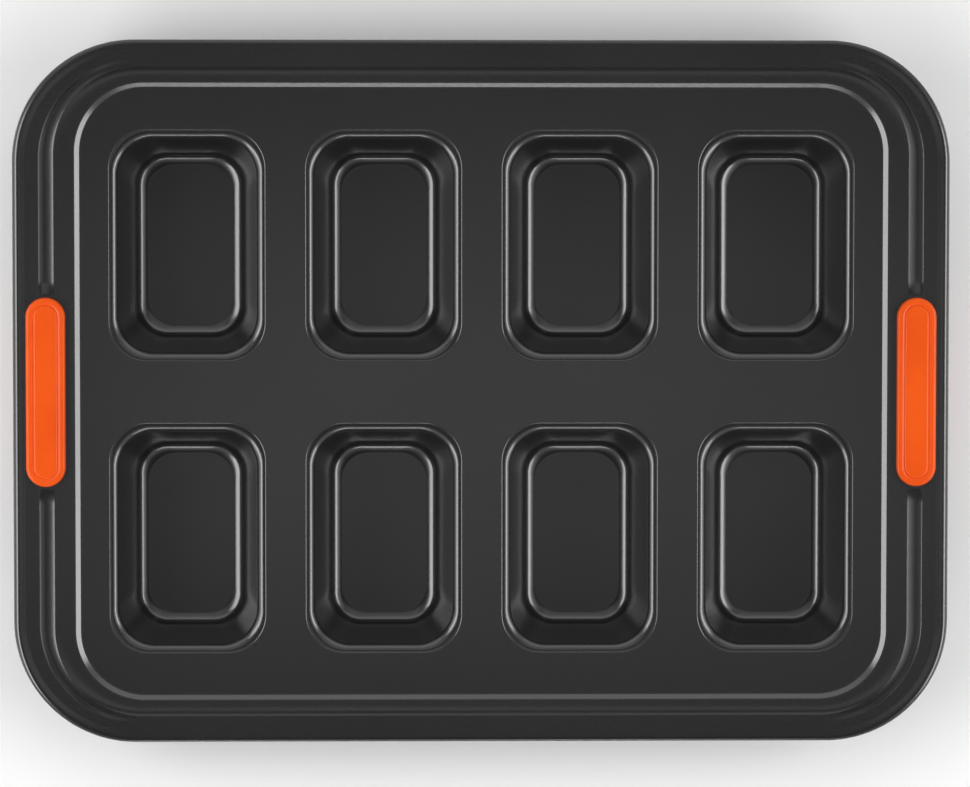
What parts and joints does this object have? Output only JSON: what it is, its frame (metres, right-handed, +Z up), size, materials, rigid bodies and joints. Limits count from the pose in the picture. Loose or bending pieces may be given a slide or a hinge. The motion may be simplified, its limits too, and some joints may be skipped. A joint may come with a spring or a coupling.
{
  "type": "brownie pan",
  "caption": "Rectangular non-stick brownie pan with rounded corners, drafted oblong wells in a recessed deck, a wired rolled rim and a silicone grip on each short side.",
  "frame": {"origin": "under the middle of the pan, on the plane of the wells' undersides", "axes": "+X along the pan, from the left grip to the right one; +Y across it; +Z up out of the wells"},
  "size_m": [0.4, 0.3, 0.0361],
  "materials": {
    "coated_steel": "satin dark grey non-stick coat",
    "wire_steel": "plain drawn wire",
    "silicone": "matt moulded orange"
  },
  "bodies": {
    "root": {"pan_sheet": "coated_steel", "rim_wire": "wire_steel", "left_grip": "silicone", "right_grip": "silicone"}
  },
  "joints": []
}
